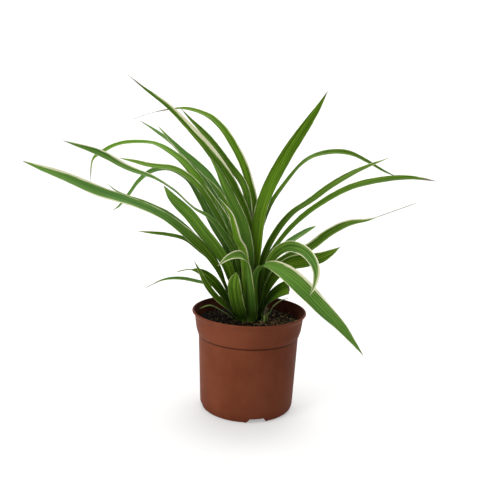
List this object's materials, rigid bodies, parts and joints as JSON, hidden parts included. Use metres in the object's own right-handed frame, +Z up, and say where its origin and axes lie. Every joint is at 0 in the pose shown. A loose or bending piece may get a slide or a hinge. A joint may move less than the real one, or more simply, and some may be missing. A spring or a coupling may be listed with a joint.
{
  "type": "potted spider plant",
  "caption": "Potted spider plant with long arching green and cream striped leaves, in a reddish brown plastic nursery pot filled with compost.",
  "frame": {"origin": "centre of the pot's flat underside, which rests on the floor", "axes": "+Z up along the pot's axis, -Y towards the viewer of the picture, +X to the viewer's right along the widest spread of the leaves"},
  "size_m": [0.4001, 0.2321, 0.3434],
  "materials": {
    "pot": "reddish brown moulded plastic, satin, with a faint orange peel grain",
    "soil": "dark loose compost with tan bits and fibres, rough",
    "crown": "pale green fleshy crown with dry leaf bases",
    "leaf": "green leaf with cream margins and fine lengthwise veins, soft sheen above, blue-green below"
  },
  "bodies": {
    "root": {"pot": "pot", "soil": "soil", "crown": "crown", "leaf_tall_left": "leaf", "leaf_tall_right": "leaf", "leaf_tall_slender": "leaf", "leaf_right_arch_back": "leaf", "leaf_centre_short": "leaf", "leaf_centre_dark": "leaf", "leaf_centre_pale": "leaf", "leaf_right_long_upper": "leaf", "leaf_back_twisted": "leaf", "leaf_left_hooked": "leaf", "leaf_right_long_middle": "leaf", "leaf_back_long_arch": "leaf", "leaf_centre_bright": "leaf", "leaf_left_straight": "leaf", "leaf_left_upper": "leaf", "leaf_right_hanging": "leaf", "leaf_right_short_back": "leaf", "leaf_left_broad": "leaf", "leaf_back_left": "leaf", "leaf_left_arched": "leaf", "leaf_back_centre": "leaf", "leaf_left_low": "leaf", "leaf_right_broad": "leaf", "leaf_right_long_low": "leaf", "leaf_front_right_large": "leaf", "leaf_left_behind": "leaf", "leaf_left_longest": "leaf", "leaf_low_dark": "leaf", "leaf_back_low_left": "leaf", "leaf_back_low_right": "leaf", "leaf_low_whip": "leaf", "leaf_front_short": "leaf", "leaf_soil_pale": "leaf", "leaf_front_left_spear": "leaf", "leaf_front_folded": "leaf", "leaf_sheath_old": "leaf", "leaf_cut_stub": "leaf", "leaf_right_small_pale": "leaf"}
  },
  "joints": []
}
